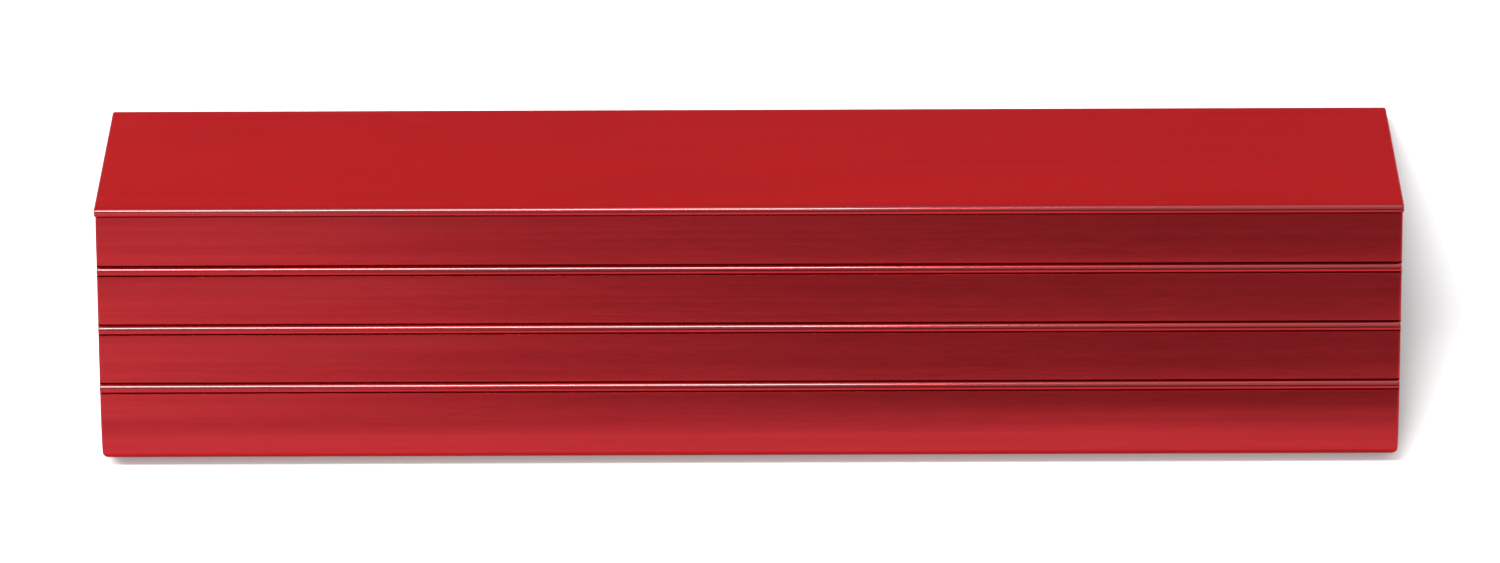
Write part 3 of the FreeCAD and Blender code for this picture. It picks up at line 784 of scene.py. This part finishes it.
clampScrew = {"shank": 1.5, "threadDepth": 0.22, "threadPitch": 0.5, "groove": 1.25, "head": 2.75, "seat": 8.75,
              "knurlDepth": 0.12, "hex": 2.0, "hexDeep": 1.2, "segments": 144, "turned": True,
              "bright": (0.14, 0.14, 0.15), "deep": (0.06, 0.06, 0.066), "rubbed": (0.34, 0.34, 0.35),
              "worn": 0.4, "rough": 0.34, "grain": 9, "relief": 0.2}
blackOxide = metalFinish("blackOxide", clampScrew)


def clampScrewRows(low, high):
    shank = clampScrew["shank"]
    seat = clampScrew["seat"]
    head = clampScrew["head"]
    knurl = head - clampScrew["knurlDepth"]
    hexHole = hexagon(clampScrew["hex"])
    hexEnd = high - clampScrew["hexDeep"]
    grooveLow, grooveHigh = toolBox("retaining_ring_left")

    def knurled(angle):
        return head if round(angle / (2 * math.pi) * clampScrew["segments"]) % 4 < 2 else knurl

    rows = [(low, 0), (low, shank - clampScrew["threadDepth"])]
    rows += threaded(low + 0.15, grooveLow.y - 0.1, shank, clampScrew["threadDepth"], clampScrew["threadPitch"])
    rows += [(grooveLow.y, clampScrew["groove"]), (grooveHigh.y, clampScrew["groove"]), (grooveHigh.y, shank),
             (seat, shank), (seat, knurl - 0.15), (seat + 0.12, knurl), (seat + 0.2, knurled),
             (high - 0.35, knurled), (high - 0.3, knurl), (high - 0.12, knurl - 0.07), (high, knurl - 0.28),
             (high, clampScrew["hex"] / 2 + 0.3), (high - 0.12, hexHole), (hexEnd, hexHole), (hexEnd, 0)]
    return rows


def makeClampScrew(side, axis):
    low, high = toolBox("clamp_screw_" + side)
    piece = turned("clampScrew_" + side, clampScrewRows(low.y, high.y), clampScrew["segments"])
    place(piece, side + "_screw", "clamp_screw_" + side, "screw_steel", blackOxide,
          alongInward(axis.x, 0, axis.z), sharp=30)


washerLook = {"eye": 1.6, "edgeBreak": 0.06, "turned": True, "bright": (0.68, 0.68, 0.71),
              "deep": (0.50, 0.50, 0.52), "rubbed": (0.80, 0.80, 0.80), "worn": 0.5, "rough": 0.3, "grain": 8,
              "relief": 0.15}
zincPlate = metalFinish("zincPlate", washerLook)


def makeWasher(side, axis):
    low, high = toolBox("screw_washer_" + side)
    rim = (high.x - low.x) / 2
    eye = washerLook["eye"]
    soft = washerLook["edgeBreak"]
    rows = [(low.y, eye + soft), (low.y, rim - soft), (low.y + soft, rim), (high.y - soft, rim),
            (high.y, rim - soft), (high.y, eye + soft), (high.y - soft, eye), (low.y + soft, eye)]
    place(turned("screwWasher_" + side, rows, 64, tube=True), "jaw", "screw_washer_" + side, "washer_steel",
          zincPlate, alongInward(axis.x, 0, axis.z))


# the ring is pushed on from the side, so it has an open mouth and three inner grips
ringLook = {"eye": 1.25, "window": 1.75, "mouth": 0.9, "gripsAt": (90, 200, -20), "gripHalf": 24,
            "edgeBreak": 0.05, "bright": (0.14, 0.15, 0.19), "deep": (0.07, 0.075, 0.10),
            "rubbed": (0.30, 0.31, 0.34), "worn": 0.4, "rough": 0.3, "grain": 6, "relief": 0.12}
bluedSpring = metalFinish("bluedSpring", ringLook)


def makeRing(side, axis):
    low, high = toolBox("retaining_ring_" + side)
    rim = (high.x - low.x) / 2
    mouth = ringLook["mouth"]
    outerGap = math.degrees(math.asin(mouth / rim))
    outline = arc(0, 0, rim, -90 + outerGap, 270 - outerGap, 56)
    outline += [(-mouth, -rim * 0.75), (-mouth, -ringLook["window"] * 0.62)]
    for step in range(37):
        angle = 225 - 270 * step / 36
        grips = min(abs(angle - grip) for grip in ringLook["gripsAt"]) < ringLook["gripHalf"]
        reach = ringLook["eye"] if grips else ringLook["window"]
        outline.append((reach * math.cos(math.radians(angle)), reach * math.sin(math.radians(angle))))
    outline += [(mouth, -ringLook["window"] * 0.62), (mouth, -rim * 0.75)]
    clip = bar("retainingRing_" + side, outline, (high.y - low.y) / 2, ringLook["edgeBreak"])
    moved(clip, Matrix.Rotation(math.radians(90), 4, "Z"))
    place(clip, side + "_screw", "retaining_ring_" + side, "ring_steel", bluedSpring,
          Matrix.Translation((axis.x, (low.y + high.y) / 2, axis.z)))


insertLook = {"eye": 1.55, "threadDepth": 0.16, "outerDepth": 0.25, "outerPitch": 0.7, "mouth": 0.25,
              "turned": True, "bright": (0.78, 0.58, 0.27), "deep": (0.60, 0.42, 0.17),
              "rubbed": (0.88, 0.72, 0.42), "worn": 0.4, "rough": 0.28, "grain": 8, "relief": 0.2}
turnedBrass = metalFinish("turnedBrass", insertLook)


def makeInsert(side, axis):
    low, high = toolBox("thread_insert_" + side)
    rim = (high.x - low.x) / 2
    outer = threaded(low.y + 0.2, high.y - 0.5, rim, insertLook["outerDepth"], insertLook["outerPitch"])
    inner = threaded(low.y + 0.15, high.y - 0.15, insertLook["eye"] + insertLook["threadDepth"],
                     insertLook["threadDepth"], clampScrew["threadPitch"])
    mouth = insertLook["eye"] + insertLook["mouth"]
    rows = [(low.y, mouth), (low.y, rim - 0.3), *outer, (high.y - 0.35, rim), (high.y - 0.05, rim),
            (high.y, rim - 0.05), (high.y, mouth), *inner[::-1]]
    place(turned("threadInsert_" + side, rows, 48, tube=True), "guide", "thread_insert_" + side, "insert_brass",
          turnedBrass, alongInward(axis.x, 0, axis.z))


pinLook = {"tip": 0.4, "turned": True, "bright": (0.72, 0.73, 0.75), "deep": (0.56, 0.57, 0.59),
           "rubbed": (0.84, 0.84, 0.85), "worn": 0.4, "rough": 0.22, "grain": 10, "relief": 0.12}
groundPin = metalFinish("groundPin", pinLook)


def makePin(side):
    low, high = toolBox("guide_pin_" + side)
    axis = middleOf("guide_pin_" + side)
    rim = (high.x - low.x) / 2
    tip = pinLook["tip"]
    rows = [(low.y, 0), (low.y, rim - 0.2), (low.y + 0.2, rim), (high.y - tip, rim),
            (high.y - tip * 0.7, rim - 0.06), (high.y - 0.06, rim - tip * 0.85), (high.y, rim - tip - 0.08),
            (high.y, 0)]
    place(turned("guidePin_" + side, rows, 64), "guide", "guide_pin_" + side, "pin_steel", groundPin,
          alongInward(axis.x, 0, axis.z))


for side in ("left", "right"):
    screwAxis = middleOf("clamp_screw_" + side)
    makeClampScrew(side, screwAxis)
    makeWasher(side, screwAxis)
    makeRing(side, screwAxis)
    makeInsert(side, screwAxis)
    makePin(side)
print("clamp screws, washers, rings, inserts and pins made")


# countersunk screws and the holes they sit in

def sunkScrewRows(long, look):
    # tip at 0 and the head's face at long
    shank = look["shank"]
    head = look["head"]
    hexHole = hexagon(look["hex"])
    neck = long - (head - shank)
    rows = [(0, 0), (0, shank * 0.75)]
    rows += threaded(0.15, neck - 0.25, shank, look["threadDepth"], look["threadPitch"])
    rows += [(neck, shank), (long - 0.08, head - 0.06), (long - 0.03, head - 0.04), (long, head - 0.1),
             (long, look["hex"] / 2 + 0.22), (long - 0.08, hexHole), (long - look["hexDeep"], hexHole),
             (long - look["hexDeep"], 0)]
    return rows


def sunkHole(start, face, look):
    # cutter from start up to the face that the head lies flush with
    shank = look["shank"]
    head = look["head"]
    return turned("cutter", [(start, shank), (face - (head - shank), shank), (face + 0.2, head + 0.2)], 64)


# steel strips that run on the ski's base, and their screws

stripLook = {"edgeBreak": 0.12, "endBreak": 0.4, "bright": (0.72, 0.73, 0.75), "deep": (0.55, 0.56, 0.58),
             "rubbed": (0.85, 0.85, 0.86), "worn": 0.6, "rough": 0.24, "grain": 9, "relief": 0.2}


def makeStrips():
    finish = metalFinish("stripSteel", stripLook)
    for row in ("front", "rear"):
        low, high = toolBox("wear_strip_" + row)
        piece = bar("wearStrip_" + row, rounded(square(low, high), stripLook["edgeBreak"]), high.x,
                    stripLook["endBreak"], steps=5)
        holes = [moved(sunkHole(z - high.z - 1, z - low.z, stripScrew), intoFlange(x, y, z))
                 for x, y, z in stripScrewSpots() if low.y < y < high.y]
        carve(piece, holes)
        place(piece, "guide", "wear_strip_" + row, "strip_steel", finish)


makeStrips()

smallSteel = {"bright": (0.66, 0.66, 0.68), "deep": (0.50, 0.50, 0.52), "rubbed": (0.78, 0.78, 0.79),
              "worn": 0.4, "rough": 0.28, "grain": 9, "relief": 0.15}
stainless = metalFinish("stainless", smallSteel)


def makeStripScrews():
    low, high = toolBox("wear_strip_screws")
    rows = sunkScrewRows(high.z - low.z, stripScrew)
    screws = [moved(turned("strip screw", rows, 72), intoFlange(*spot)) for spot in stripScrewSpots()]
    place(joinedPieces("wearStripScrews", screws), "guide", "wear_strip_screws", "small_screws", stainless)


makeStripScrews()

# stops beyond the file's two ends

stopLook = {"edgeBreak": 0.5, "bright": (0.052, 0.052, 0.057), "deep": (0.028, 0.028, 0.032),
            "rubbed": (0.10, 0.10, 0.10), "rough": 0.42, "relief": 0.18}


def makeStops():
    finish = plasticFinish("stopPlastic", stopLook)
    screwLow, screwHigh = toolBox("file_stop_screws")
    rows = sunkScrewRows(screwHigh.y - screwLow.y, stopScrew)
    screws = []
    for side in ("left", "right"):
        low, high = toolBox("file_stop_" + side)
        middle = (low + high) / 2
        block = bar("fileStop_" + side, rounded(square(low, high), stopLook["edgeBreak"]), (high.x - low.x) / 2,
                    stopLook["edgeBreak"], steps=5)
        carve(block, [moved(sunkHole(low.y - 1, high.y, stopScrew), alongInward(0, 0, middle.z))])
        place(block, "guide", "file_stop_" + side, "stop_plastic", finish, Matrix.Translation((middle.x, 0, 0)))
        screws.append(moved(turned("stop screw", rows, 72), alongInward(middle.x, screwLow.y, middle.z)))
    place(joinedPieces("fileStopScrews", screws), "guide", "file_stop_screws", "small_screws", stainless)


makeStops()
print("strips, stops and their screws made")


# stage, light and camera

studio = {
    "overheadHigh": 1.0,            # metres above the table
    "overheadBack": 0.05,
    "overheadWide": 1.3,
    "overheadDeep": 0.15,
    "overheadEnd": 0.026,           # its right-hand edge
    "overheadPower": 22,
    "frontLeft": {"at": (-0.62, -1.15, 0.56), "aim": (-0.1, 0, 0), "size": (1.1, 0.75), "power": 5},
    "frontRight": {"at": (0.66, -1.12, 0.56), "aim": (0.1, 0, 0), "size": (0.9, 0.75), "power": 1.3},
    "room": 0.32,                   # walls of the room
    "backdrop": 0.6,                # more from behind
    "ceiling": 0.95,                # straight overhead
    "horizon": 0.85,                # more at table height
    "tableHalf": 3.0,
    "tableDull": (0.86, 0.86, 0.86),
    "tablePale": (0.90, 0.90, 0.90),
}

view = {
    "distance": 1.1329,
    "lens": 235.34,
    "aboveWall": 19.455,            # degrees above square-on to the ribbed face
    "aside": -0.309,
    "roll": -0.477,
    "aim": (0.08, -5.91, 14.0),     # millimetres
}


def areaLight(name, at, aim, size, power):
    light = bpy.data.lights.new(name, "AREA")
    light.shape = "RECTANGLE"
    light.size, light.size_y = size
    light.energy = power
    lamp = bpy.data.objects.new(name, light)
    bpy.context.scene.collection.objects.link(lamp)
    lamp.location = at
    lamp.rotation_euler = (Vector(aim) - Vector(at)).to_track_quat("-Z", "Y").to_euler()


def makeLights():
    middle = studio["overheadEnd"] - studio["overheadWide"] / 2
    back = studio["overheadBack"]
    # aimed a hair off straight down, which keeps its long side along x
    areaLight("overhead", (middle, back, studio["overheadHigh"]), (middle, back + 0.0001, 0),
              (studio["overheadWide"], studio["overheadDeep"]), studio["overheadPower"])
    for name in ("frontLeft", "frontRight"):
        areaLight(name, **studio[name])


def paleTable():
    # matt white table that can be seen through from underneath
    material, spot = startFinish("paleTable")
    mottle = spot.noise((0.004, 0.004, 0.004), 3, 0.5)
    board = spot.node("ShaderNodeBsdfPrincipled", {}, {
        "Base Color": mottle.mix(studio["tableDull"], studio["tablePale"]), "Roughness": 1.0,
        "Diffuse Roughness": 0.6, "Specular IOR Level": 0.0})
    clear = spot.node("ShaderNodeBsdfTransparent")
    behind = spot.node("ShaderNodeNewGeometry", {}, {}, 6)
    mixed = spot.node("ShaderNodeMixShader", {}, {0: behind, 1: board, 2: clear})
    spot.node("ShaderNodeOutputMaterial", {}, {"Surface": mixed}, None)
    return material


def makeTable():
    half = studio["tableHalf"]
    mesh = bpy.data.meshes.new("table")
    corners = [(-half, -half, 0), (half, -half, 0), (half, half, 0), (-half, half, 0)]
    mesh.from_pydata(corners, [], [(0, 1, 2, 3)])
    mesh.materials.append(paleTable())
    table = bpy.data.objects.new("table", mesh)
    bpy.context.scene.collection.objects.link(table)


def makeRoom():
    world = bpy.data.worlds.new("room")
    bpy.context.scene.world = world
    world.use_nodes = True
    world.node_tree.nodes.clear()
    way = Wire(world.node_tree).node("ShaderNodeTexCoord")
    up = way.node("ShaderNodeSeparateXYZ", {}, {0: way}, 2)
    behind = way.node("ShaderNodeSeparateXYZ", {}, {0: way}, 1).fade(0.0, 0.35, 0, studio["backdrop"])
    glow = up.fade(0.55, 0.9, studio["room"], studio["ceiling"]) + up.fade(
        0.40, 0.12, 0, studio["horizon"]) + behind
    sky = way.node("ShaderNodeBackground", {}, {"Color": (1, 1, 1, 1), "Strength": glow})
    way.node("ShaderNodeOutputWorld", {}, {"Surface": sky}, None)


def makeCamera():
    wallUp = math.degrees(math.atan2(-inward.z, inward.y))
    high = math.radians(wallUp + view["aboveWall"])
    aside = math.radians(view["aside"])
    look = Vector((math.sin(aside) * math.cos(high), math.cos(aside) * math.cos(high), -math.sin(high)))
    right = look.cross(Vector((0, 0, 1))).normalized()
    over = right.cross(look)
    turn = Matrix.Rotation(-math.radians(view["roll"]), 3, look)
    lens = bpy.data.cameras.new("camera")
    lens.lens = view["lens"]
    lens.sensor_width = 36
    camera = bpy.data.objects.new("camera", lens)
    bpy.context.scene.collection.objects.link(camera)
    camera.matrix_world = Matrix.Translation(Vector(view["aim"]) * mm - look * view["distance"]) @ (
        turn @ Matrix((right, over, -look)).transposed()).to_4x4()
    bpy.context.scene.camera = camera


makeTable()
makeLights()
makeRoom()
makeCamera()
bpy.context.scene.view_settings.view_transform = "Standard"
print("stage, lights and camera set")
